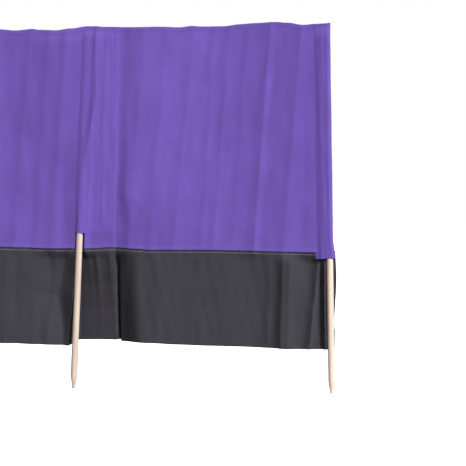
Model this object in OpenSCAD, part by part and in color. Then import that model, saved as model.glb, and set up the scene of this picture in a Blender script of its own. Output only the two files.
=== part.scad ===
// Beach windbreak: a row of cloth bays carried on round wooden stakes.
// X runs along the row, the front faces -Y, and Z is up.
// The origin is the centre of the blunt foot of the middle stake.

/* [Row] */
// Number of cloth bays between stakes
bays = 4; // [2:1:6]
// Distance between neighbouring stakes, at their feet
bay_pitch = 1000; // [600:10:1400]

/* [Stakes] */
// Diameter of a stake
stake_d = 25; // [18:1:40]
// Length of a stake, foot to top
stake_len = 1350; // [900:10:2000]
// Length of the tapered foot
taper_len = 40; // [15:1:90]
// Diameter of the blunt end of the foot
blunt_d = 10; // [4:0.5:16]
// Rounding of the stake's top edge
top_round = 1.5; // [0.5:0.5:4]
// Lean of each stake in turn, in degrees, positive with the top towards +X
stake_lean = [1, -1.4, 0, 2.6, -1]; // each [-4:0.1:4]

/* [Cloth] */
// Thickness that the cloth is modelled with
cloth_t = 2; // [1:0.5:4]
// Height of the canvas, from its seam to the row's top edge
canvas_h = 855; // [500:5:1300]
// Height of the valance below the seam
valance_h = 373; // [150:1:600]
// Cloth that stands up above the stakes' tops
head_room = 50; // [20:5:120]
// Height of the folded hem along the top
top_hem_h = 18; // [8:1:40]
// Height of the folded hem along the valance's foot
valance_hem_h = 14; // [8:1:40]
// Extra thickness of a hem, where the cloth is folded over
hem_extra = 1; // [0.5:0.5:3]

/* [Sleeves] */
// Play between a stake and the bore of its sleeve, all round
sleeve_play = 0.5; // [0.3:0.1:3]
// Thickness of a sleeve's wall over the front of the stake
sleeve_wall = 2; // [1:0.5:4]
// Distance from a middle stake's centre to its sleeve's stitching on the -X side
sleeve_near = 30; // [24:1:60]
// Distance from a middle stake's centre to its sleeve's stitching on the +X side
sleeve_far = 130; // [40:1:200]
// Height that a middle sleeve ends above the seam
sleeve_lift = 60; // [0:5:200]
// Distance from an end stake's centre to its sleeve's stitching
end_sleeve_reach = 47; // [30:1:80]
// Length that an end sleeve hangs below the seam
end_sleeve_drop = 22; // [0:1:60]

/* [Folds] */
// Depth at the seam of the fold beside each stake in turn, on its +X side
pleat_depth = [0, 35, 25, 50, 0]; // each [0:1:80]
// Growth of that fold's depth from the seam to the valance's foot, as a factor
pleat_growth = 1.8; // [1:0.1:3]
// Distance from the stake's foot to the fold's upright crease
pleat_crease = 165; // [60:1:220]
// Distance from that crease to where the cloth is back in line
pleat_return = 65; // [30:1:150]
// Share of the gap between seam and sleeve over which the fold runs out
pleat_fade = 1; // [0.3:0.1:1]
// Depth of the soft waves in the canvas
canvas_wave = 5; // [0:0.5:12]
// Depth of the soft waves at the valance's foot
valance_wave = 9; // [0:0.5:20]
// Number of waves in a bay
wave_count = 3; // [1:1:6]
// Length that the valance runs on past an end stake's centre
valance_tail = 22; // [14:1:60]

/* [Hidden] */
// Clearance between pieces that lie against each other
seam_gap = 0.3;
column_count = 28;
canvas_rows = 7;
valance_rows = 4;
round_steps = 96;
arc_steps = 40;

last_stake = bays;
middle_stake = floor(bays / 2);

cloth_top = stake_len + head_room;
seam_z = cloth_top - canvas_h;
valance_foot = seam_z - valance_h;
sleeve_foot = seam_z + sleeve_lift;
end_sleeve_foot = seam_z - end_sleeve_drop;

bore_r = stake_d / 2 + sleeve_play;
sleeve_r = bore_r + sleeve_wall;
// Front face of the cloth, just behind the stakes
cloth_y = bore_r + sleeve_wall / 2 + 2 * seam_gap;

STAKES = [for (i = [0:last_stake]) str("stake_", i + 1)];
SLEEVES = [for (i = [0:last_stake]) str("sleeve_", i + 1)];
CANVASES = [for (i = [0:bays - 1]) str("canvas_", i + 1)];
VALANCES = [for (i = [0:bays - 1]) str("valance_", i + 1)];
TOP_HEMS = [for (i = [0:bays - 1]) str("top_hem_", i + 1)];
VALANCE_HEMS = [for (i = [0:bays - 1]) str("valance_hem_", i + 1)];

function is_end(stake) = stake == 0 || stake == last_stake;
function lean_of(stake) = stake == middle_stake ? 0 : stake_lean[stake % len(stake_lean)];
function foot_x(stake) = (stake - middle_stake) * bay_pitch;
// Centre of a stake at a height
function stake_x(stake, z) = foot_x(stake) + z * tan(lean_of(stake));

function share(value, low, high) = min(max((value - low) / (high - low), 0), 1);
function ease(t) = t * t * (3 - 2 * t);
function blend(a, b, t) = a + (b - a) * t;

// Depth of a bay's fold at a height: it runs out up the canvas and grows down the valance
function pleat_at(stake, z) =
    let (depth = pleat_depth[stake % len(pleat_depth)])
    z > seam_z
        ? depth * (1 - ease(share(z, seam_z, blend(seam_z, sleeve_foot, pleat_fade))))
        : depth * blend(1, pleat_growth, share(seam_z - z, 0, valance_h));

// Share of that depth at a place along the row
function pleat_shape(stake, x, z) =
    let (crease = foot_x(stake) + pleat_crease)
    x < crease
        ? ease(share(x, stake_x(stake, z), crease))
        : 1 - share(x, crease, crease + pleat_return);

// Waves stay clear of both stakes and slant with height
function wave(bay, u, z, depth) =
    depth * ease(share(u, 0.1, 0.3)) * ease(share(1 - u, 0.1, 0.25))
    * (1 + sin(360 * wave_count * u + 70 * bay + z / 9)) / 2;

// The valance passes behind an end sleeve, so there it steps back by the canvas's thickness
function behind_sleeve(stake, distance) =
    is_end(stake)
        ? (cloth_t + 2 * seam_gap) * (1 - ease(share(distance, end_sleeve_reach + 10, end_sleeve_reach + 110)))
        : 0;

// Set-back of the cloth behind its front plane
function set_back(bay, x, z) =
    let (from_a = x - stake_x(bay, z),
         from_b = stake_x(bay + 1, z) - x,
         u = from_a / (from_a + from_b),
         down = share(seam_z - z, 0, valance_h))
    pleat_at(bay, z) * pleat_shape(bay, x, z)
    + wave(bay, u, z, blend(canvas_wave, valance_wave, down))
    + (z < seam_z - seam_gap / 2 ? behind_sleeve(bay, from_a) + behind_sleeve(bay + 1, from_b) : 0);

// A bay of cloth as one closed wavy sheet. Its side edges follow the stakes, moved in
// by inset_a and inset_b.
module cloth_bay(bay, z_low, z_high, rows, thick, inset_a, inset_b) {
    columns = column_count + 1;
    function edge_a(z) = stake_x(bay, z) + inset_a;
    function edge_b(z) = stake_x(bay + 1, z) - inset_b;
    function cloth_point(i, j, back) =
        let (u = i / column_count,
             z = blend(z_low, z_high, j / rows),
             x = blend(edge_a(z), edge_b(z), u))
        [x, cloth_y + set_back(bay, x, z) + back, z];
    front = [for (j = [0:rows]) for (i = [0:column_count]) cloth_point(i, j, 0)];
    rear = [for (j = [0:rows]) for (i = [0:column_count]) cloth_point(i, j, thick)];
    half = len(front);
    function at(i, j) = j * columns + i;
    front_faces = [for (j = [0:rows - 1]) for (i = [0:column_count - 1]) for (f = [
        [at(i, j), at(i, j + 1), at(i + 1, j + 1)],
        [at(i, j), at(i + 1, j + 1), at(i + 1, j)]]) f];
    rear_faces = [for (f = front_faces) [f[2] + half, f[1] + half, f[0] + half]];
    low_faces = [for (i = [0:column_count - 1]) for (f = [
        [at(i, 0), at(i + 1, 0), at(i + 1, 0) + half],
        [at(i, 0), at(i + 1, 0) + half, at(i, 0) + half]]) f];
    high_faces = [for (i = [0:column_count - 1]) for (f = [
        [at(i, rows), at(i, rows) + half, at(i + 1, rows) + half],
        [at(i, rows), at(i + 1, rows) + half, at(i + 1, rows)]]) f];
    side_a_faces = [for (j = [0:rows - 1]) for (f = [
        [at(0, j), at(0, j) + half, at(0, j + 1) + half],
        [at(0, j), at(0, j + 1) + half, at(0, j + 1)]]) f];
    side_b_faces = [for (j = [0:rows - 1]) for (f = [
        [at(column_count, j), at(column_count, j + 1), at(column_count, j + 1) + half],
        [at(column_count, j), at(column_count, j + 1) + half, at(column_count, j) + half]]) f];
    polyhedron(
        points = concat(front, rear),
        faces = concat(front_faces, rear_faces, low_faces, high_faces, side_a_faces, side_b_faces),
        convexity = 8);
}

// Direction of the tangent point on a circle about the origin from an outside point;
// turn is 1 or -1
function tangent_angle(point, radius, turn) =
    atan2(point[1], point[0]) + turn * acos(radius / norm(point));

function arc(radius, from, to) =
    [for (step = [0:arc_steps])
        let (angle = blend(from, to, step / arc_steps))
        [radius * cos(angle), radius * sin(angle)]];

// Moves a piece drawn about the Z axis onto a stake, at its lean
module on_stake(stake) {
    translate([foot_x(stake), 0, 0])
        rotate([0, lean_of(stake), 0])
            children();
}

// A turned round stake with a tapered foot, a blunt end and a softened top
module stake(i) {
    color("burlywood")
        on_stake(i)
            rotate_extrude($fn = round_steps)
                polygon([
                    [0, 0],
                    [blunt_d / 2, 0],
                    [stake_d / 2, taper_len],
                    [stake_d / 2, stake_len - top_round],
                    [stake_d / 2 - top_round, stake_len],
                    [0, stake_len]]);
}

// Outline of a middle sleeve: a wide strip over the front of the stake, flat against the canvas
module middle_sleeve_outline() {
    left = [-sleeve_near, cloth_y - seam_gap];
    right = [sleeve_far, cloth_y - seam_gap];
    polygon(concat(
        [left],
        arc(sleeve_r, tangent_angle(left, sleeve_r, 1), 360 + tangent_angle(right, sleeve_r, -1)),
        [right]));
}

// Outline of an end sleeve: the canvas turned round the stake and stitched down
module end_sleeve_outline() {
    rear_y = cloth_y + cloth_t;
    tail = [-end_sleeve_reach, cloth_y];
    rear = [0, rear_y];
    polygon(concat(
        [tail],
        arc(sleeve_r, tangent_angle(tail, sleeve_r, 1), 360 + tangent_angle(rear, sleeve_r, -1)),
        [rear, [-end_sleeve_reach, rear_y]]));
}

module sleeve(i) {
    low = is_end(i) ? end_sleeve_foot : sleeve_foot;
    high = is_end(i) ? cloth_top : cloth_top - top_hem_h - seam_gap;
    // A leaning end would cut into the hem, so a sleeve stops short of it
    trim = max(sleeve_near, sleeve_far) * abs(sin(lean_of(i)));
    color("mediumpurple")
        on_stake(i)
            difference() {
                translate([0, 0, low])
                    linear_extrude(high - low - trim)
                        if (is_end(i))
                            mirror([i == 0 ? 1 : 0, 0])
                                end_sleeve_outline();
                        else
                            middle_sleeve_outline();
                // Bore for the stake, closed above the stake's top
                cylinder(r = bore_r, h = stake_len + 2 * sleeve_play, $fn = round_steps);
            }
}

// Room left at a bay's side: an end sleeve takes the cloth's edge, a middle stake shares it
function canvas_inset(stake) =
    is_end(stake) ? end_sleeve_reach / cos(lean_of(stake)) + seam_gap : seam_gap / 2;
function valance_inset(stake) = is_end(stake) ? -valance_tail : seam_gap / 2;

module canvas(bay) {
    color("mediumpurple")
        cloth_bay(bay, seam_z, cloth_top - top_hem_h - seam_gap, canvas_rows, cloth_t,
            canvas_inset(bay), canvas_inset(bay + 1));
}

module top_hem(bay) {
    color("slateblue")
        cloth_bay(bay, cloth_top - top_hem_h, cloth_top, 1, cloth_t + hem_extra,
            canvas_inset(bay), canvas_inset(bay + 1));
}

module valance(bay) {
    color("dimgray")
        cloth_bay(bay, valance_foot + valance_hem_h + seam_gap, seam_z - seam_gap, valance_rows, cloth_t,
            valance_inset(bay), valance_inset(bay + 1));
}

module valance_hem(bay) {
    color("black")
        cloth_bay(bay, valance_foot, valance_foot + valance_hem_h, 1, cloth_t + hem_extra,
            valance_inset(bay), valance_inset(bay + 1));
}

for (i = [0:last_stake]) {
    stake(i);
    sleeve(i);
}
for (i = [0:bays - 1]) {
    canvas(i);
    valance(i);
    top_hem(i);
    valance_hem(i);
}
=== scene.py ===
import math

import bmesh
import bpy
import numpy as np
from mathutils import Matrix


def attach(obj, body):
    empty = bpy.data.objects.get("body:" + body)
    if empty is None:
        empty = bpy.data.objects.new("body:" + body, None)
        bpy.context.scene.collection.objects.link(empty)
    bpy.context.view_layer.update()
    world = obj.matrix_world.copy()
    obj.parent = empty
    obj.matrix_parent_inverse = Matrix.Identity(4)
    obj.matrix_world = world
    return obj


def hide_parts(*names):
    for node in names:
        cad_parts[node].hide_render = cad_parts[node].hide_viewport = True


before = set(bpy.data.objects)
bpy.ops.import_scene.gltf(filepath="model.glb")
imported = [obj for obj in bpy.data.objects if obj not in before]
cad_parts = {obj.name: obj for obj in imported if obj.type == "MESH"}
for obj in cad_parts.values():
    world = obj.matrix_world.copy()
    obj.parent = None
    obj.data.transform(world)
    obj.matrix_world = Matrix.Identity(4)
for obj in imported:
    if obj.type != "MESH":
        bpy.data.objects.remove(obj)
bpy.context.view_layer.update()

# --- Camera -----------------------------------------------------------------
# A long lens at chest height, a little past the right-hand end of the row, so
# that the end stake, one whole bay and part of the next fill the view.
bpy.ops.object.camera_add(
    location=(2.0315, -3.922, 0.7292),
    rotation=(math.radians(90 - 1.77), 0, math.radians(5.935)))
camera = bpy.context.object
camera.name = "camera"
camera.data.lens = 80
camera.data.sensor_width = 36
bpy.context.scene.camera = camera

# --- Stakes -----------------------------------------------------------------
# Round softwood dowels, turned and sanded, each cut to a taper at the foot
# with a blunt end. The wood is bare: pale, slightly pink, with fine long
# grain, a few darker latewood lines and end grain on the cut faces.
MM = 0.001
STAKE_COUNT = 5
BAY_COUNT = STAKE_COUNT - 1
STAKE_R = 12.5
STAKE_LEN = 1350
BLUNT_R = 4.5
TAPER_LEN = 45
LEANS = (1, -1.4, 0, 2.6, -1)
# Brightness scale of each stake's wood. Stake 5's 1.1 is painted light: it makes that stake lighter for the
# light falling on its right side. The other values make each stake a little lighter or darker.
STAKE_TONES_AND_PAINTED_LIGHT = (0.97, 1.0, 0.93, 0.82, 1.1)
PITCH = 1000


def colour(hex_value):
    """An sRGB hex value as a linear colour."""
    channels = [int(hex_value[i:i + 2], 16) / 255 for i in (1, 3, 5)]
    return [c / 12.92 if c <= 0.04045 else ((c + 0.055) / 1.055) ** 2.4 for c in channels] + [1]


def add_node(tree, kind, settings=None, links=None):
    """Adds a shader node, sets its sockets or properties, and links its inputs."""
    node = tree.nodes.new(kind)
    for name, value in (settings or {}).items():
        if name in node.inputs:
            node.inputs[name].default_value = value
        else:
            setattr(node, name, value)
    for name, source in (links or {}).items():
        tree.links.new(source, node.inputs[name])
    return node


def deselect_all():
    if bpy.context.object and bpy.context.object.mode != "OBJECT":
        bpy.ops.object.mode_set(mode="OBJECT")
    bpy.ops.object.select_all(action="DESELECT")


def apply_modifiers(piece):
    deselect_all()
    piece.select_set(True)
    bpy.context.view_layer.objects.active = piece
    for modifier in list(piece.modifiers):
        bpy.ops.object.modifier_apply(modifier=modifier.name)


def colour_ramp(tree, source, stops):
    ramp = add_node(tree, "ShaderNodeValToRGB", links={"Fac": source})
    ramp.color_ramp.elements[0].position = stops[0][0]
    ramp.color_ramp.elements[0].color = colour(stops[0][1])
    ramp.color_ramp.elements[1].position = stops[-1][0]
    ramp.color_ramp.elements[1].color = colour(stops[-1][1])
    for place, shade in stops[1:-1]:
        ramp.color_ramp.elements.new(place).color = colour(shade)
    return ramp


def make_stake_wood():
    """Bare sanded softwood. Long streaks run down the stake, drawn 2 mm wide so that they show."""
    material = bpy.data.materials.new("sanded_softwood")
    material.use_nodes = True
    tree = material.node_tree
    shader = tree.nodes["Principled BSDF"]
    along = add_node(tree, "ShaderNodeAttribute", {"attribute_name": "along_stake"})
    streaks = add_node(
        tree, "ShaderNodeMapping", {"Scale": (420, 420, 6)}, {"Vector": along.outputs["Vector"]})
    grain = add_node(
        tree, "ShaderNodeTexNoise", {"Scale": 1, "Detail": 5, "Roughness": 0.6},
        {"Vector": streaks.outputs["Vector"]})
    patches = add_node(
        tree, "ShaderNodeMapping", {"Scale": (60, 60, 3.5)}, {"Vector": along.outputs["Vector"]})
    patchy = add_node(
        tree, "ShaderNodeTexNoise", {"Scale": 1, "Detail": 3, "Roughness": 0.5},
        {"Vector": patches.outputs["Vector"]})
    fibre = colour_ramp(tree, grain.outputs["Fac"], (
        (0.30, "#CDB5A4"), (0.45, "#E0CEC0"), (0.62, "#E8D8CC"), (0.8, "#EEE2D8")))
    warm = colour_ramp(tree, patchy.outputs["Fac"], ((0.35, "#F8EEE7"), (0.65, "#FFFFFF")))
    mixed = add_node(
        tree, "ShaderNodeMix", {"data_type": "RGBA", "blend_type": "MULTIPLY"})
    mixed.inputs[0].default_value = 1.0
    tree.links.new(fibre.outputs["Color"], mixed.inputs[6])
    tree.links.new(warm.outputs["Color"], mixed.inputs[7])
    bump = add_node(
        tree, "ShaderNodeBump", {"Strength": 0.25, "Distance": 0.0006}, {"Height": grain.outputs["Fac"]})
    # Each stake's brightness scale, which for stake 5 is painted light that makes it lighter
    tone = add_node(tree, "ShaderNodeAttribute", {"attribute_name": "stake_tone_and_painted_light"})
    toned_with_painted_light = add_node(tree, "ShaderNodeVectorMath", {"operation": "SCALE"}, {"Vector": mixed.outputs[2]})
    tree.links.new(tone.outputs["Fac"], toned_with_painted_light.inputs["Scale"])
    tree.links.new(toned_with_painted_light.outputs["Vector"], shader.inputs["Base Color"])
    tree.links.new(bump.outputs["Normal"], shader.inputs["Normal"])
    shader.inputs["Roughness"].default_value = 0.62
    shader.inputs["Specular IOR Level"].default_value = 0.35
    return material


stake_wood = make_stake_wood()


def foot_x(stake):
    """Place of a stake's foot along the row, with the middle stake at the origin."""
    return (stake - STAKE_COUNT // 2) * PITCH


def stake_x(stake, z):
    """Centre of a stake at a height."""
    return foot_x(stake) + z * math.tan(math.radians(LEANS[stake]))


def make_stake(stake):
    deselect_all()
    bpy.ops.mesh.primitive_cylinder_add(
        vertices=48, radius=STAKE_R * MM, depth=STAKE_LEN * MM, location=(0, 0, STAKE_LEN / 2 * MM))
    piece = bpy.context.object
    piece.name = f"wooden_stake_{stake + 1}"
    bpy.ops.object.transform_apply(location=True, rotation=True, scale=True)
    bpy.ops.object.mode_set(mode="EDIT")
    mesh = bmesh.from_edit_mesh(piece.data)
    # Rings close together at the foot for its taper, and wider apart above it
    heights = [TAPER_LEN * k / 8 for k in range(1, 9)] + [TAPER_LEN + 4, 60, 120, 300, 600, 900, 1200]
    for height in heights:
        everything = mesh.verts[:] + mesh.edges[:] + mesh.faces[:]
        bmesh.ops.bisect_plane(mesh, geom=everything, plane_co=(0, 0, height * MM), plane_no=(0, 0, 1))
    bmesh.update_edit_mesh(piece.data)
    bpy.ops.object.mode_set(mode="OBJECT")
    generator = np.random.default_rng(40 + stake)
    flats = generator.uniform(-0.35, 0.35, 5)
    for vertex in piece.data.vertices:
        x, y, z = (c / MM for c in vertex.co)
        angle = math.atan2(y, x)
        # The taper is cut by hand on a belt, so it is a little uneven round the foot
        share = min(z / TAPER_LEN, 1)
        uneven = sum(flats[k] * math.cos((k + 1) * angle + k) for k in range(5)) * (1 - share) * share * 4
        radius = BLUNT_R + (STAKE_R - BLUNT_R) * share ** 0.75 + uneven * (share > 0)
        radius = min(radius, STAKE_R)
        length = math.hypot(x, y)
        if length > 1e-6:
            vertex.co.x *= radius / length
            vertex.co.y *= radius / length
    bevel = piece.modifiers.new("softened_edges", "BEVEL")
    bevel.width = 1.2 * MM
    bevel.segments = 3
    bevel.limit_method = "ANGLE"
    bevel.angle_limit = math.radians(50)
    apply_modifiers(piece)
    along = piece.data.attributes.new("along_stake", "FLOAT_VECTOR", "POINT")
    offset = np.array([stake * 0.31, 0.17 * stake, stake * 0.4])
    places = np.empty(len(piece.data.vertices) * 3, dtype=np.float32)
    piece.data.vertices.foreach_get("co", places)
    along.data.foreach_set("vector", (places.reshape(-1, 3) + offset).astype(np.float32).ravel())
    # One brightness scale per stake; stake 5's value is painted light that makes the whole stake lighter
    tone = piece.data.attributes.new("stake_tone_and_painted_light", "FLOAT", "POINT")
    tone.data.foreach_set("value", np.full(len(piece.data.vertices), STAKE_TONES_AND_PAINTED_LIGHT[stake], dtype=np.float32))
    deselect_all()
    piece.select_set(True)
    bpy.context.view_layer.objects.active = piece
    bpy.ops.object.shade_smooth_by_angle(angle=math.radians(35))
    piece.rotation_euler = (0, math.radians(LEANS[stake]), 0)
    piece.location = (foot_x(stake) * MM, 0, 0)
    bpy.ops.object.transform_apply(location=True, rotation=True, scale=True)
    piece.data.materials.clear()
    piece.data.materials.append(stake_wood)
    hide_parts(f"stake_{stake + 1}")
    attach(piece, "root")
    return piece


stakes = [make_stake(k) for k in range(STAKE_COUNT)]

# --- Canvas bays --------------------------------------------------------------
# Plain-woven cotton canvas, dyed purple, one panel between each two stakes. It
# hangs from its sleeves in long soft folds that lean with the pull of the
# stakes, and dips to an upright crease where each middle sleeve is stitched.
CLOTH_TOP = 1400
HEM_TOP = 18
SEAM_Z = 545
VALANCE_FOOT = 172
CLOTH_Y = 14.6
CLOTH_T = 0.9
SLEEVE_FOOT = 605
SLEEVE_NEAR = 23
WRAP_R = 15.5
SLEEVE_R = 13.6
END_FORWARD = 19
END_DROP = 22
# How strongly the fold beside each stake is drawn
PULL = (0, 0.7, 0.5, 1, 0)
# Rise of the top edge, of the seam and of the valance's foot: in each bay, how far
# from the foot of its left stake, and by how much the cloth rises there
TOP_EDGE = (
    ((0, 0), (70, -3), (180, 2), (270, 6), (350, 4), (430, -3), (560, -4), (640, -1), (850, -3)),
    ((0, 1), (60, 4), (110, 1), (240, -3), (390, -1), (450, -5), (560, -2), (640, 3), (800, -4), (900, -3)),
    ((0, 0), (60, 1), (130, -3), (260, -5), (380, -7), (500, -2), (600, 0), (700, -3), (775, -9), (840, -5),
     (870, -9), (935, -13)),
    ((0, -7), (60, 0), (92, -1), (125, -4.5), (280, -8.5), (340, -7.5), (420, -10), (465, -5),
     (500, -7), (590, -7), (650, -1), (710, 2), (785, 4), (830, 0), (890, -10), (940, -6), (985, -5)))
SEAM_LINE = (
    ((0, -10), (50, -10), (260, -7), (300, -5), (500, -3), (700, -4), (850, 0)),
    ((0, 1), (90, 2), (145, 5), (240, 0), (400, -3), (650, -2), (800, -1), (900, 1)),
    ((0, 2), (100, 3), (160, 5), (240, 0), (400, -3), (560, -1), (700, 5), (800, 3), (900, 0)),
    ((0, 1), (80, 1), (140, 5), (175, 4), (240, 0), (300, -4), (500, -3), (700, -5), (740, -7), (950, -10)))
FOOT_LINE = (
    ((0, -5), (120, -6), (300, -2), (500, 1), (650, 4), (800, 0), (920, -4), (975, -5)),
    ((0, 4), (90, 7), (160, 8), (230, 3), (400, 4), (600, 0), (800, -2), (920, -5), (975, -6)),
    ((0, 3), (100, 5), (160, 6), (240, 5), (400, 3), (560, 1), (700, 0), (760, 0), (850, -3),
     (950, -5), (975, -6)),
    ((0, 7), (85, 10), (160, 11), (172, 6), (240, 9), (300, 8), (400, 4), (540, 1), (640, 0),
     (760, -3), (900, -6), (975, -5)))
# Folds of each bay, in mm from the foot of its left stake: where the ridge is at the
# top edge and at the seam, how far it stands forward, and its width on each side
CANVAS_FOLDS = (
    ((170, 110, 4, 40, 55), (265, 200, 3, 32, 45), (385, 318, 6, 42, 30), (470, 402, 3, 30, 50),
     (590, 512, 5, 38, 60), (668, 608, 2.5, 28, 44), (760, 690, 4, 36, 58), (868, 800, 3, 30, 46)),
    ((300, 228, 5, 52, 70), (410, 336, 3.5, 34, 52), (505, 430, 5.5, 40, 60), (575, 520, 2.5, 28, 44),
     (650, 580, 4, 34, 60), (775, 700, 6, 40, 34), (880, 812, 3.5, 32, 50), (950, 880, 4, 34, 50)),
    ((285, 215, 4, 50, 66), (390, 322, 2.5, 34, 50), (480, 402, 5, 42, 32), (590, 520, 3, 32, 54),
     (700, 628, 4, 36, 60), (835, 762, 4.6, 40, 60), (913, 850, 2.4, 30, 45), (984, 911, 4.2, 38, 52)),
    ((290, 213, 6, 70, 70), (374, 297, 3, 30, 50), (476, 390, 6, 40, 60), (550, 503, 3.5, 30, 45),
     (612, 544, 5, 34, 60), (680, 620, 2, 25, 40), (767, 703, 8, 42, 24), (884, 815, 5.5, 36, 60)))


def ease(t):
    t = np.clip(t, 0, 1)
    return t * t * (3 - 2 * t)


def ridge(x, z, high, low, rise, left, right):
    """A long fold that stands forward along a line from high to low, each (x, z)."""
    t = (z - low[1]) / (high[1] - low[1])
    off = x - (low[0] + (high[0] - low[0]) * t)
    reach = np.where(off < 0, left, right)
    side = np.clip(1 - (np.sqrt(off * off + 4) - 2) / reach, 0, 1) ** 1.7
    return rise * side * ease((t + 0.12) / 0.15) * ease((1.15 - t) / 0.2)


def ripple(x, z, seed, size, depth):
    """Small uneven waves, longer up the cloth than across it."""
    generator = np.random.default_rng(seed)
    total = np.zeros_like(x)
    for _ in range(7):
        across = generator.uniform(0.6, 1.7) * 2 * math.pi / size
        upward = generator.uniform(-0.35, 0.35) * 2 * math.pi / size
        total += np.sin(across * x + upward * z + generator.uniform(0, 6.28))
    return depth * total / 7


def drawn_line(x, points):
    """A smooth line along the row through (place, value) points."""
    places, values = np.array(points, dtype=float).T
    k = np.clip(np.searchsorted(places, x) - 1, 0, len(places) - 2)
    t = ease((x - places[k]) / (places[k + 1] - places[k]))
    return values[k] * (1 - t) + values[k + 1] * t


def along_row(lines):
    """The bays' lines joined into one along the whole row."""
    return [(foot_x(bay) + x, rise) for bay, line in enumerate(lines) for x, rise in line]


def crease_x(stake, z):
    """The crease on the +X side of a middle stake, along the far edge of its sleeve."""
    return stake_x(stake, z) + np.interp(
        z, (172, 350, 545, 606, 907, 1400), (156.2, 145.1, 138.3, 135.5, 132.8, 121.4))


def crease_depth(stake, z):
    return PULL[stake] * np.interp(
        z, (172, 300, 400, 480, 545, 606, 700, 907, 1150, 1400),
        (96, 88, 76, 54, 12, -3, -10, -15, -20, -20))


def past_crease(z, r):
    """How much of the crease's depth is left, r mm beyond it: first a steep wall, then a slope."""
    steep = np.interp(z, (172, 400, 545, 620), (0.22, 0.22, 0.2, 0))
    wall = np.interp(z, (172, 400, 545), (7, 12, 20))
    t = np.clip(r / np.interp(z, (172, 545, 606, 750, 1400), (106, 96, 84, 56, 46)), 0, 1)
    return 1 - steep * ease(r / wall) - (1 - steep) * (0.45 * (1.35 * t - 0.35 * t ** 3.9) + 0.55 * ease(t))


def strip_y(stake, x, z):
    """Front of a middle sleeve's strip, from its stitching on the -X side to the crease."""
    off = x - stake_x(stake, z)
    run = crease_x(stake, z) - stake_x(stake, z)
    # Above the stake's top the strip lies back towards the canvas
    front = 12 * ease((z - STAKE_LEN - 4) / 44) - SLEEVE_R
    far_edge = CLOTH_Y + crease_depth(stake, z) - 1.2
    # It falls off the stake, then slowly, and last drops to the crease
    beside = np.interp(z, (606, 800, 1100), (0.5, 0.42, 0.1))
    last = np.interp(z, (606, 900), (0.08, 0.14))
    t = np.clip((off - 4) / (run - 4), 0, 1)
    falls = beside * ease((off - 4) / 46) + last * ease((off - run + 5) / 5) + (1 - beside - last) * t
    rounded = np.clip(1 - (off / WRAP_R) ** 2, 0, 1)
    gentle = ease((z - 640) / 220)
    wrapped = rounded * (1 - gentle) + ease(1 + off / SLEEVE_NEAR) * gentle
    on_canvas = tented(z, -off) - 0.08
    y = np.where(off < 0, on_canvas + (front - on_canvas) * wrapped, front + (far_edge - front) * falls)
    # A tension fold runs from the stake up to the top edge
    crest = np.interp(z, (780, 870, 1130, 1400), (0, 10, 46, 36))
    pulled = np.where(
        off < crest, np.clip(1 + (off - crest) / 24, 0, 1) ** 1.4, np.clip(1 - (off - crest) / 90, 0, 1))
    return y - PULL[stake] * 7 * pulled * ease((z - 780) / 250) * (1 - 0.5 * ease((z - 1150) / 200))


def tented(z, gap):
    """Front of the canvas on the -X side of a middle stake, drawn forward over it like a tent."""
    broad = np.interp(z, (545, 760, 950, 1100, 1350, 1400), (7, 11, 18, 24, 24, 15))
    close = np.interp(z, (545, 606, 760, 870, 950, 1100), (8, 12, 12, 9, 5, 0))
    return CLOTH_Y - broad * ease((330 - gap) / 290) - close * np.clip((74 - gap) / 60, 0, 1) ** 1.3


def canvas_y(bay, x, z):
    """Set-back of the front of the canvas in a bay, in mm."""
    y = np.full_like(x, CLOTH_Y)
    foot = foot_x(bay)
    for top_x, low_x, rise, left, right in CANVAS_FOLDS[bay]:
        y -= 0.62 * ridge(x, z, (foot + top_x, CLOTH_TOP), (foot + low_x, SEAM_Z), rise, left, right)
    y += ripple(x, z, 11 + bay, 260, 2.5) + ripple(x, z, 21 + bay, 75, 0.9)
    from_a = x - stake_x(bay, z)
    from_b = stake_x(bay + 1, z) - x
    # The folds die out at the stakes, where the cloth is held flat
    held_a = ease(from_a / 60) if bay == 0 else ease((x - crease_x(bay, z)) / 60)
    held_b = ease((from_b - 45) / 60) if bay == BAY_COUNT - 1 else ease((from_b - 20) / 70)
    y = CLOTH_Y + (y - CLOTH_Y) * held_a * held_b
    for side, gap in ((0, from_a), (1, from_b)):
        if bay + side in (0, STAKE_COUNT - 1):
            y -= END_FORWARD * np.clip((480 - gap) / 430, 0, 1) ** 1.3 * ease((gap - 10) / 34)
    # It passes behind the stakes, and closes over their tops
    above = ease((z - STAKE_LEN - 3) / 20)
    if bay > 0:
        # Beside its left stake the canvas lies behind the sleeve's strip, down to the crease
        behind = strip_y(bay, x, z) + 0.8
        left = CLOTH_Y + (behind - CLOTH_Y) * np.maximum(ease((from_a - 13) / 10), above)
        past = x - crease_x(bay, z)
        stands = PULL[bay] * 23 * ease(past / np.interp(z, (606, 750), (84, 50))) * ease((420 - past) / 340)
        beyond = y + crease_depth(bay, z) * past_crease(z, past) - stands * ease((z - SEAM_Z + 30) / 260)
        y = np.where(x < crease_x(bay, z), left, beyond)
    if bay < BAY_COUNT - 1:
        y += (tented(z, from_b) - CLOTH_Y) * np.maximum(ease((from_b - 11) / 4), above)
    return y


def level(x, z):
    """Height of a point of the cloth once its edges have risen and sagged."""
    seam = drawn_line(x, along_row(SEAM_LINE))
    upper = np.clip((z - SEAM_Z) / (CLOTH_TOP - SEAM_Z), 0, 1)
    lower = np.clip((SEAM_Z - z) / (SEAM_Z - VALANCE_FOOT), 0, 1)
    return z + seam * (1 - upper) * (1 - lower) + upper * drawn_line(x, along_row(TOP_EDGE)) + (
        lower * drawn_line(x, along_row(FOOT_LINE)))


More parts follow.
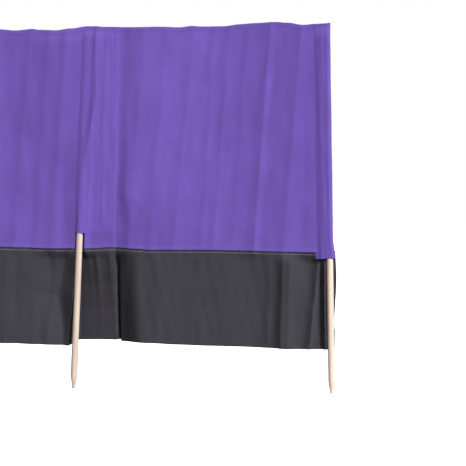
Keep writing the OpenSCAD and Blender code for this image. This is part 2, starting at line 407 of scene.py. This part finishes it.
def cloth_grid(name, columns, rows, place):
    """A grid of cloth; place turns shares across and up (0 to 1) into x, y, z in mm."""
    deselect_all()
    bpy.ops.mesh.primitive_grid_add(x_subdivisions=columns, y_subdivisions=rows, size=1)
    piece = bpy.context.object
    piece.name = name
    mesh = piece.data
    places = np.empty(len(mesh.vertices) * 3, dtype=np.float32)
    mesh.vertices.foreach_get("co", places)
    flat = places.reshape(-1, 3).astype(float) + 0.5
    x, y, z = place(flat[:, 0], flat[:, 1])
    mesh.vertices.foreach_set("co", (np.stack([x, y, z], axis=1) * MM).astype(np.float32).ravel())
    mesh.update()
    for polygon in mesh.polygons:
        polygon.use_smooth = True
    return piece


def thicken(piece, thickness):
    """Gives a grid of cloth its thickness, behind the face that was shaped."""
    solid = piece.modifiers.new("cloth_thickness", "SOLIDIFY")
    solid.thickness = thickness * MM
    solid.offset = -1
    solid.use_even_offset = False
    apply_modifiers(piece)
    bpy.ops.object.shade_smooth_by_angle(angle=math.radians(50))


def make_cloth_material(name, thread, shade, light, size, sheen):
    """Plain-woven dyed cotton. Real threads are 0.5 mm apart, too fine to show, so the weave is
    drawn 2 mm apart on the panels, and finer across the sleeves and hems, which share their
    scale. Slubs along warp and weft give the dyed cloth its slightly uneven tone."""
    material = bpy.data.materials.new(name)
    material.use_nodes = True
    tree = material.node_tree
    shader = tree.nodes["Principled BSDF"]
    uv = add_node(tree, "ShaderNodeTexCoord")
    metres = add_node(
        tree, "ShaderNodeMapping", {"Scale": (size[0], size[1], 1)}, {"Vector": uv.outputs["UV"]})
    tones = []
    for stretch in ((130, 900, 1), (900, 110, 1), (9, 7, 1)):
        stretched = add_node(
            tree, "ShaderNodeMapping", {"Scale": stretch}, {"Vector": metres.outputs["Vector"]})
        tones.append(add_node(
            tree, "ShaderNodeTexNoise", {"Scale": 1, "Detail": 3, "Roughness": 0.55},
            {"Vector": stretched.outputs["Vector"]}).outputs["Fac"])
    slubs = add_node(tree, "ShaderNodeMath", {"operation": "ADD"})
    tree.links.new(tones[0], slubs.inputs[0])
    tree.links.new(tones[1], slubs.inputs[1])
    halved = add_node(tree, "ShaderNodeMath", {"operation": "MULTIPLY"})
    tree.links.new(slubs.outputs[0], halved.inputs[0])
    halved.inputs[1].default_value = 0.5
    dyed = colour_ramp(tree, halved.outputs[0], ((0.36, shade), (0.5, thread), (0.64, light)))
    faded = colour_ramp(tree, tones[2], ((0.3, "#EFEFEF"), (0.7, "#FFFFFF")))
    mixed = add_node(tree, "ShaderNodeMix", {"data_type": "RGBA", "blend_type": "MULTIPLY"})
    mixed.inputs[0].default_value = 1.0
    tree.links.new(dyed.outputs["Color"], mixed.inputs[6])
    tree.links.new(faded.outputs["Color"], mixed.inputs[7])
    tree.links.new(mixed.outputs[2], shader.inputs["Base Color"])
    waves = []
    for direction in ("X", "Y"):
        waves.append(add_node(
            tree, "ShaderNodeTexWave",
            {"wave_type": "BANDS", "bands_direction": direction, "Scale": 157, "Distortion": 1.5,
             "Detail": 1, "Detail Scale": 1.5},
            {"Vector": metres.outputs["Vector"]}).outputs["Fac"])
    weave = add_node(tree, "ShaderNodeMath", {"operation": "MAXIMUM"})
    tree.links.new(waves[0], weave.inputs[0])
    tree.links.new(waves[1], weave.inputs[1])
    relief = add_node(tree, "ShaderNodeMath", {"operation": "ADD"})
    tree.links.new(weave.outputs[0], relief.inputs[0])
    tree.links.new(slubs.outputs[0], relief.inputs[1])
    bump = add_node(
        tree, "ShaderNodeBump", {"Strength": 0.35, "Distance": 0.0006}, {"Height": relief.outputs[0]})
    tree.links.new(bump.outputs["Normal"], shader.inputs["Normal"])
    shader.inputs["Roughness"].default_value = 0.9
    shader.inputs["Specular IOR Level"].default_value = 0.12
    shader.inputs["Sheen Weight"].default_value = sheen
    shader.inputs["Sheen Roughness"].default_value = 0.5
    return material


CANVAS_H = CLOTH_TOP - HEM_TOP - SEAM_Z
purple_canvas = make_cloth_material(
    "purple_cotton_canvas", "#6E54AE", "#694FA8", "#745AB4", (1.0, 0.84), 0.1)
END_REACH = 47


def side_x(bay, z, side):
    """Side edge of a bay's canvas: at an end sleeve's stitching, or behind a middle stake."""
    if side == 0:
        return stake_x(bay, z) + (END_REACH if bay == 0 else 0.2)
    return stake_x(bay + 1, z) - (END_REACH if bay == BAY_COUNT - 1 else 0.2)


def make_canvas(bay):
    def place(u, v):
        z = SEAM_Z + CANVAS_H * v
        x = side_x(bay, z, 0) * (1 - u) + side_x(bay, z, 1) * u
        y = canvas_y(bay, x, z)
        # The lower edge is folded under and stands a little proud of the valance
        y -= 1.1 * ease((SEAM_Z + 9 - z) / 3)
        return x, y, level(x, z)
    piece = cloth_grid(f"purple_canvas_{bay + 1}", 170, 142, place)
    thicken(piece, CLOTH_T)
    piece.data.materials.append(purple_canvas)
    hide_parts(f"canvas_{bay + 1}")
    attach(piece, "root")
    return piece


canvases = [make_canvas(bay) for bay in range(BAY_COUNT)]

# --- Sleeves ------------------------------------------------------------------
# The same purple canvas. A middle sleeve is a wide strip laid over the front of
# the stake, stitched to the canvas close beside the stake on one side and along
# the upright crease on the other. At each end of the row the canvas is turned
# round the stake and stitched down, and hangs a little below the seam.
def middle_sleeve_y(stake, x, z):
    folds = ridge(x, z, (foot_x(stake) + 98, CLOTH_TOP), (foot_x(stake) + 60, SLEEVE_FOOT), 1.5, 14, 22)
    folds += ridge(x, z, (foot_x(stake) + 140, CLOTH_TOP), (foot_x(stake) + 112, SLEEVE_FOOT), 1.5, 16, 22)
    folds += ripple(x, z, 70 + stake, 60, 0.6)
    off = x - stake_x(stake, z)
    pressed = 0.65 * ease((SLEEVE_FOOT + 9 - z) / 8) * ease((off - 22) / 14)
    return strip_y(stake, x, z) + pressed - folds * ease((off - 12) / 20) * (
        ease((crease_x(stake, z) - x) / 12) * ease((z - SLEEVE_FOOT - 4) / 40))


def make_middle_sleeve(stake):
    height = CLOTH_TOP - HEM_TOP - 1 - SLEEVE_FOOT

    def place(u, v):
        z = SLEEVE_FOOT + height * v
        x = (stake_x(stake, z) - SLEEVE_NEAR) * (1 - u) + crease_x(stake, z) * u
        return x, middle_sleeve_y(stake, x, z), level(x, z)
    piece = cloth_grid(f"purple_sleeve_{stake + 1}", 56, 110, place)
    thicken(piece, 0.6)
    return piece


def end_sleeve_section(t, slack):
    """Plan of an end sleeve, t from 0 at its stitching in front, round the stake's outer
    side, to 1 behind the canvas."""
    radius = SLEEVE_R + slack
    tails = ((-END_REACH, CLOTH_Y - END_FORWARD - 0.4), (-END_REACH - 6, CLOTH_Y - END_FORWARD + 1.6))
    reaches = [math.hypot(*tail) for tail in tails]
    start = math.atan2(tails[0][1], tails[0][0]) + np.arccos(radius / reaches[0])
    finish = 2 * math.pi + math.atan2(tails[1][1], tails[1][0]) - np.arccos(radius / reaches[1])
    lead, trail = [np.sqrt(reach ** 2 - radius ** 2) for reach in reaches]
    swing = (finish - start) * radius
    along = t * (lead + swing + trail)
    angle = start + np.clip(along - lead, 0, swing) / radius
    x, y = radius * np.cos(angle), radius * np.sin(angle)
    for tail, share in ((tails[0], 1 - along / lead), (tails[1], (along - lead - swing) / trail)):
        share = np.clip(share, 0, 1)
        x, y = x + (tail[0] - x) * share, y + (tail[1] - y) * share
    return x, y


def make_end_sleeve(stake):
    sign = 1 if stake else -1
    foot = SEAM_Z - END_DROP
    height = CLOTH_TOP - foot

    def place(u, v):
        share = u if sign > 0 else 1 - u
        z = foot + height * v
        slack = 0.5 + 0.9 * ease((SEAM_Z + 40 - z) / 60) + 0.35 * np.sin(z / 37 + share * 9)
        across, y = end_sleeve_section(share, slack)
        # Fine upright wrinkles at the foot, and small soft ones above
        pucker = ease((SEAM_Z + 90 - z) / 110)
        y = y + (0.5 * pucker + 0.1) * np.sin(share * 46 + z / 90) * (share < 0.4)
        # The front swells between its stitching and the stake
        swell = np.clip((across + END_REACH) / (END_REACH - 4), 0, 1)
        y = y - 1.8 * np.sin(math.pi * swell) ** 2 * (share < 0.45)
        above = ease((z - STAKE_LEN) / 45)
        y = y + (6 - y) * above * 0.45
        across = across + above * 1.5
        across = across + 5 * ease((SEAM_Z + 60 - z) / 70) * ease((across + 4) / 16)
        x = stake_x(stake, z) + sign * across
        lift = 2.5 * ease((z - CLOTH_TOP + 30) / 30) * ease(across / 14)
        drop = -1.8 * ease((foot + 12 - z) / 12) * ease((-across) / 30)
        return x, y, level(x, np.maximum(z, SEAM_Z)) + np.minimum(z - SEAM_Z, 0) + lift + drop
    piece = cloth_grid(f"purple_sleeve_{stake + 1}", 84, 140, place)
    thicken(piece, CLOTH_T)
    return piece


for stake in range(STAKE_COUNT):
    sleeve = make_end_sleeve(stake) if stake in (0, STAKE_COUNT - 1) else make_middle_sleeve(stake)
    sleeve.data.materials.append(purple_canvas)
    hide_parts(f"sleeve_{stake + 1}")
    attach(sleeve, "root")

# --- Top hems -------------------------------------------------------------------
# The canvas's top edge folded over to the back and stitched down, so the edge
# is a little thicker and rounds over.


def band_section(t, thickness):
    """Set-back and share of height round a folded band: up the front, over the fold, down the back."""
    turn = np.clip((t - 0.45) / 0.1, 0, 1) * math.pi
    height = np.where(t < 0.45, t / 0.45, np.where(t > 0.55, (1 - t) / 0.45, 1 + np.sin(turn) * 0.04))
    return thickness / 2 * (1 - np.cos(turn)), height


def make_top_hem(bay):
    def place(u, v):
        back, height = band_section(v, 2.2)
        z = CLOTH_TOP - HEM_TOP + HEM_TOP * height
        x = side_x(bay, z, 0) * (1 - u) + side_x(bay, z, 1) * u
        y = canvas_y(bay, x, z) + back
        return x, y, level(x, z)
    piece = cloth_grid(f"purple_top_hem_{bay + 1}", 170, 16, place)
    thicken(piece, 0.5)
    piece.data.materials.append(purple_canvas)
    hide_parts(f"top_hem_{bay + 1}")
    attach(piece, "root")
    return piece


top_hems = [make_top_hem(bay) for bay in range(BAY_COUNT)]

# --- Valances -------------------------------------------------------------------
# Charcoal cotton of the same weave, sewn under the canvas's lower edge. It hangs
# free behind the stakes, pushed back beside each middle stake into a deep fold,
# and lies in soft upright folds towards the end stake.
HEM_FOOT = 14
SEAM_TUCK = 5
VALANCE_FOLDS = (
    ((150, 140, 5, 40, 50), (330, 310, 6, 40, 60), (560, 540, 4, 36, 50), (760, 735, 9, 38, 55)),
    ((420, 405, 4, 36, 50), (600, 585, 6, 40, 60), (780, 755, 8, 36, 60), (925, 903, 5, 30, 40)),
    ((410, 400, 4, 36, 50), (590, 560, 7, 40, 60), (730, 715, 4, 36, 50), (930, 893, 7, 32, 90)),
    ((330, 322, 3, 60, 60), (500, 490, 2, 60, 60), (765, 756, 6, 34, 60), (815, 806, 20, 50, 80),
     (842, 832, 17, 60, 84), (952, 915, 13, 34, 16), (970, 975, 22, 16, 34)))


def behind_stake(stake, z):
    """How far a middle stake pushes the valance back."""
    return PULL[stake] * np.interp(z, (172, 300, 400, 480, 545), (88, 77, 57, 28, 4))


def valance_y(bay, x, z):
    """Set-back of the front of the valance in a bay, in mm."""
    down = (SEAM_Z - z) / (SEAM_Z - VALANCE_FOOT)
    folds = np.zeros_like(x)
    foot = foot_x(bay)
    for top_x, low_x, rise, left, right in VALANCE_FOLDS[bay]:
        folds -= ridge(x, z, (foot + top_x, SEAM_Z), (foot + low_x, VALANCE_FOOT), rise, left, right)
    folds += ripple(x, z, 31 + bay, 230, 4) + ripple(x, z, 41 + bay, 70, 1.5)
    from_a = x - stake_x(bay, z)
    from_b = stake_x(bay + 1, z) - x
    held_a = ease((from_a - 10) / 30) if bay == 0 else ease((x - crease_x(bay, z)) / 60)
    held_b = ease((from_b - 4) / 12) if bay == BAY_COUNT - 1 else ease((from_b - 24) / 20)
    y = CLOTH_Y + folds * held_a * held_b
    if bay > 0:
        # Pushed back from the stake to the crease, with small fan folds between them
        reach = np.clip(from_a / (crease_x(bay, z) - stake_x(bay, z)), 0, 1)
        brink = PULL[bay] * np.interp(z, (172, 300, 400, 480, 545), (67, 56, 42, 24, 8))
        left = CLOTH_Y + behind_stake(bay, z) * (1 - reach) + brink * reach
        left += (crease_depth(bay, z) - brink) * ease((x - crease_x(bay, z) + 9) / 8)
        # Just past the stake's centre it tucks behind the bay before
        left += 1.6 * ease((6 - from_a) / 6)
        fading = PULL[bay] * np.interp(z, (172, 330, 440, 545), (0.1, 0.2, 0.75, 1))
        for top_x, low_x, rise in ((56, 60, 3), (86, 92, 7), (138, 146, 6)):
            left -= fading * ridge(x, z, (foot + top_x, SEAM_Z), (foot + low_x, VALANCE_FOOT), rise, 24, 18)
        y = np.where(
            x < crease_x(bay, z), left, y + crease_depth(bay, z) * past_crease(z, x - crease_x(bay, z)))
    if bay < BAY_COUNT - 1:
        # It stands forward towards the stake and folds sharply back behind it
        heights = (172, 249, 363, 458, 545)
        wide = np.interp(z, heights, (56, 60, 88, 68, 54))
        rise = PULL[bay + 1] * np.interp(z, heights, (26, 32, 54, 42, 26))
        y += PULL[bay + 1] * np.interp(z, heights, (10, 14, 30, 22, 6)) * ease((210 - from_b) / 120)
        folded = ease((np.interp(z, (172, 255, 300, 400, 545), (29, 28, 18, 13, 13)) - from_b) / 8)
        y -= rise * np.clip((wide - from_b) / (wide - 14), 0, 1) ** 1.2 * (1 - folded)
        y += (behind_stake(bay + 1, z) - (y - CLOTH_Y)) * folded
    at_seam = canvas_y(bay, x, np.full_like(z, SEAM_Z)) + 1.2
    return at_seam + (y - at_seam) * ease(down / 0.12)


def valance_side_x(bay, z, side):
    beyond = np.interp(z, (172, 210, 240, 277, 315, 390, 450, 545), (14, 15, 16, 12, 16, 22, 25, 22))
    if side == 0:
        return stake_x(bay, z) - (beyond if bay == 0 else 7 * ease((SEAM_Z - 12 - z) / 20))
    return stake_x(bay + 1, z) + (beyond if bay == BAY_COUNT - 1 else -0.2)


charcoal_canvas = make_cloth_material(
    "charcoal_cotton_canvas", "#3F3D44", "#39383E", "#45444C", (1.0, 0.36), 0.05)


def make_valance(bay):
    low = VALANCE_FOOT + HEM_FOOT
    # Its top edge is tucked up behind the canvas
    high = SEAM_Z + SEAM_TUCK

    def place(u, v):
        z = low + (high - low) * v
        x = valance_side_x(bay, z, 0) * (1 - u) + valance_side_x(bay, z, 1) * u
        return x, valance_y(bay, x, z), level(x, z)
    piece = cloth_grid(f"charcoal_valance_{bay + 1}", 230, 70, place)
    thicken(piece, CLOTH_T)
    piece.data.materials.append(charcoal_canvas)
    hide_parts(f"valance_{bay + 1}")
    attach(piece, "root")
    return piece


valances = [make_valance(bay) for bay in range(BAY_COUNT)]

# --- Valance hems -----------------------------------------------------------------
# The valance's foot, in the same charcoal cotton. It is folded over to the back
# and stitched, which makes the edge a little thicker.


def make_valance_hem(bay):
    def place(u, v):
        back, height = band_section(v, 2)
        z = VALANCE_FOOT + HEM_FOOT - HEM_FOOT * height
        x = valance_side_x(bay, z, 0) * (1 - u) + valance_side_x(bay, z, 1) * u
        y = valance_y(bay, x, z) + back
        return x, y, level(x, z)
    piece = cloth_grid(f"charcoal_valance_hem_{bay + 1}", 230, 16, place)
    thicken(piece, 0.5)
    piece.data.materials.append(charcoal_canvas)
    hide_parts(f"valance_hem_{bay + 1}")
    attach(piece, "root")
    return piece


valance_hems = [make_valance_hem(bay) for bay in range(BAY_COUNT)]

# --- Stitching --------------------------------------------------------------------
# Polyester thread in rows of lockstitch, a 3.6 mm stitch every 4.2 mm: grey-lilac
# along the seam, where it stands out on the charcoal cloth, and purple or charcoal
# at the hems and sleeves.


def make_thread(name, shade):
    material = bpy.data.materials.new(name)
    material.use_nodes = True
    shader = material.node_tree.nodes["Principled BSDF"]
    twist = add_node(material.node_tree, "ShaderNodeTexCoord")
    lay = add_node(
        material.node_tree, "ShaderNodeTexNoise", {"Scale": 900, "Detail": 2},
        {"Vector": twist.outputs["Object"]})
    tone = colour_ramp(material.node_tree, lay.outputs["Fac"], ((0.3, shade[0]), (0.7, shade[1])))
    material.node_tree.links.new(tone.outputs["Color"], shader.inputs["Base Color"])
    shader.inputs["Roughness"].default_value = 0.55
    return material


lilac_thread = make_thread("lilac_thread", ("#857E92", "#A29BB0"))
purple_thread = make_thread("purple_thread", ("#6A50AA", "#755BB6"))
charcoal_thread = make_thread("charcoal_thread", ("#3A393E", "#47464C"))


STITCH_STEP = 4.2
STITCH_LEN = 3.6


def stitch_row(name, points, material, thread=0.55):
    """A row of stitches along points on the cloth (mm), each stitch a small low bar."""
    step = np.linalg.norm(np.diff(points, axis=0), axis=1)
    places = np.concatenate([[0], np.cumsum(step)])
    count = int(places[-1] / STITCH_STEP)
    starts = (np.arange(count) + 0.1) * STITCH_STEP
    deselect_all()
    bpy.ops.mesh.primitive_cube_add(size=1)
    piece = bpy.context.object
    piece.name = name
    verts, faces = [], []
    for start in starts:
        ends = [np.array([np.interp(s, places, points[:, k]) for k in range(3)])
                for s in (start, start + STITCH_LEN)]
        along = (ends[1] - ends[0]) / np.linalg.norm(ends[1] - ends[0])
        front = np.array([0, -1.0, 0])
        side = np.cross(along, front)
        side /= np.linalg.norm(side)
        base = len(verts)
        middle = (ends[0] + ends[1]) / 2
        for centre, raised, wide in ((ends[0], 0.1, 0.6), (middle, 1.0, 1.0), (ends[1], 0.1, 0.6)):
            for a, b in ((-1, 0), (0, 1), (1, 0), (0, -0.6)):
                verts.append((centre + side * a * wide * thread + front * (b * thread * raised)) * MM)
        for ring in range(2):
            for k in range(4):
                a, b = base + ring * 4 + k, base + ring * 4 + (k + 1) % 4
                faces.append((a, b, b + 4, a + 4))
        faces.append((base, base + 3, base + 2, base + 1))
        faces.append((base + 8, base + 9, base + 10, base + 11))
    piece.data.clear_geometry()
    piece.data.from_pydata([tuple(v) for v in verts], [], faces)
    deselect_all()
    piece.select_set(True)
    bpy.context.view_layer.objects.active = piece
    bpy.ops.object.mode_set(mode="EDIT")
    bpy.ops.mesh.select_all(action="SELECT")
    bpy.ops.mesh.normals_make_consistent(inside=False)
    bpy.ops.object.mode_set(mode="OBJECT")
    piece.data.materials.clear()
    piece.data.materials.append(material)
    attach(piece, "root")
    return piece


def row_points(bay, z, surface, side, proud, first=0.0, last=1.0):
    u = np.linspace(first, last, 300)
    z = np.full_like(u, z)
    x = side(bay, z, 0) * (1 - u) + side(bay, z, 1) * u
    return np.stack([x, surface(bay, x, z) - proud, level(x, z)], axis=1)


seam_rows, hem_rows, foot_rows, sleeve_rows = [], [], [], []
for bay in range(BAY_COUNT):
    seam_rows.append(stitch_row(
        f"seam_stitching_{bay + 1}",
        row_points(
            bay, SEAM_Z - 10, valance_y, valance_side_x, 0.15,
            0.05 if bay == 0 else 0, 0.93 if bay == BAY_COUNT - 1 else 1),
        lilac_thread, 0.7))
    hem_rows.append(stitch_row(
        f"top_hem_stitching_{bay + 1}",
        row_points(bay, CLOTH_TOP - HEM_TOP + 2.5, canvas_y, side_x, 0.65), purple_thread))
    foot_rows.append(stitch_row(
        f"valance_hem_stitching_{bay + 1}",
        row_points(bay, VALANCE_FOOT + HEM_FOOT - 2.5, valance_y, valance_side_x, 0.55),
        charcoal_thread))
for stake in range(1, STAKE_COUNT - 1):
    z = np.linspace(SLEEVE_FOOT + 3, CLOTH_TOP - HEM_TOP - 3, 240)
    for label, x in (("near", stake_x(stake, z) - SLEEVE_NEAR + 1.5), ("far", crease_x(stake, z) - 4),
                     ("inner", crease_x(stake, z) - 19)):
        points = np.stack([x, middle_sleeve_y(stake, x, z) - 0.15, level(x, z)], axis=1)
        sleeve_rows.append(stitch_row(
            f"sleeve_{stake + 1}_{label}_stitching", points, purple_thread))

# --- Floor and light ----------------------------------------------------------------
# A plain white studio floor, one soft distant light from the front right, a weaker
# one behind for the back of the row, and an even pale surround.
deselect_all()
bpy.ops.mesh.primitive_plane_add(size=60, location=(0, 0, 0))
floor = bpy.context.object
floor.name = "studio_floor"
paper = bpy.data.materials.new("white_floor")
paper.use_nodes = True
shader = paper.node_tree.nodes["Principled BSDF"]
shader.inputs["Base Color"].default_value = colour("#F4F4F4")
shader.inputs["Roughness"].default_value = 0.9
shader.inputs["Specular IOR Level"].default_value = 0.1
shader.inputs["Emission Color"].default_value = (1, 1, 1, 1)
shader.inputs["Emission Strength"].default_value = 0.75
floor.data.materials.append(paper)
floor.visible_diffuse = False
floor.visible_glossy = False

world = bpy.data.worlds.new("studio")
bpy.context.scene.world = world
world.use_nodes = True
surround = world.node_tree.nodes["Background"]
surround.inputs["Color"].default_value = (1, 1, 1, 1)
surround.inputs["Strength"].default_value = 0.28
seen = world.node_tree.nodes.new("ShaderNodeBackground")
seen.inputs["Color"].default_value = (1, 1, 1, 1)
seen.inputs["Strength"].default_value = 1.0
ray = world.node_tree.nodes.new("ShaderNodeLightPath")
choose = world.node_tree.nodes.new("ShaderNodeMixShader")
world.node_tree.links.new(ray.outputs["Is Camera Ray"], choose.inputs[0])
world.node_tree.links.new(surround.outputs[0], choose.inputs[1])
world.node_tree.links.new(seen.outputs[0], choose.inputs[2])
world.node_tree.links.new(choose.outputs[0], world.node_tree.nodes["World Output"].inputs["Surface"])


def add_soft_sun(name, azimuth, height, softness, strength):
    bpy.ops.object.light_add(type="SUN", location=(0, 0, 5))
    light = bpy.context.object
    light.name = name
    light.data.angle = math.radians(softness)
    light.data.energy = strength
    light.rotation_euler = (math.radians(90 - height), 0, math.radians(azimuth))


add_soft_sun("key", 45, 36, 20, 4.8)
add_soft_sun("back", 175, 35, 30, 1.6)
bpy.context.scene.view_settings.view_transform = "Standard"
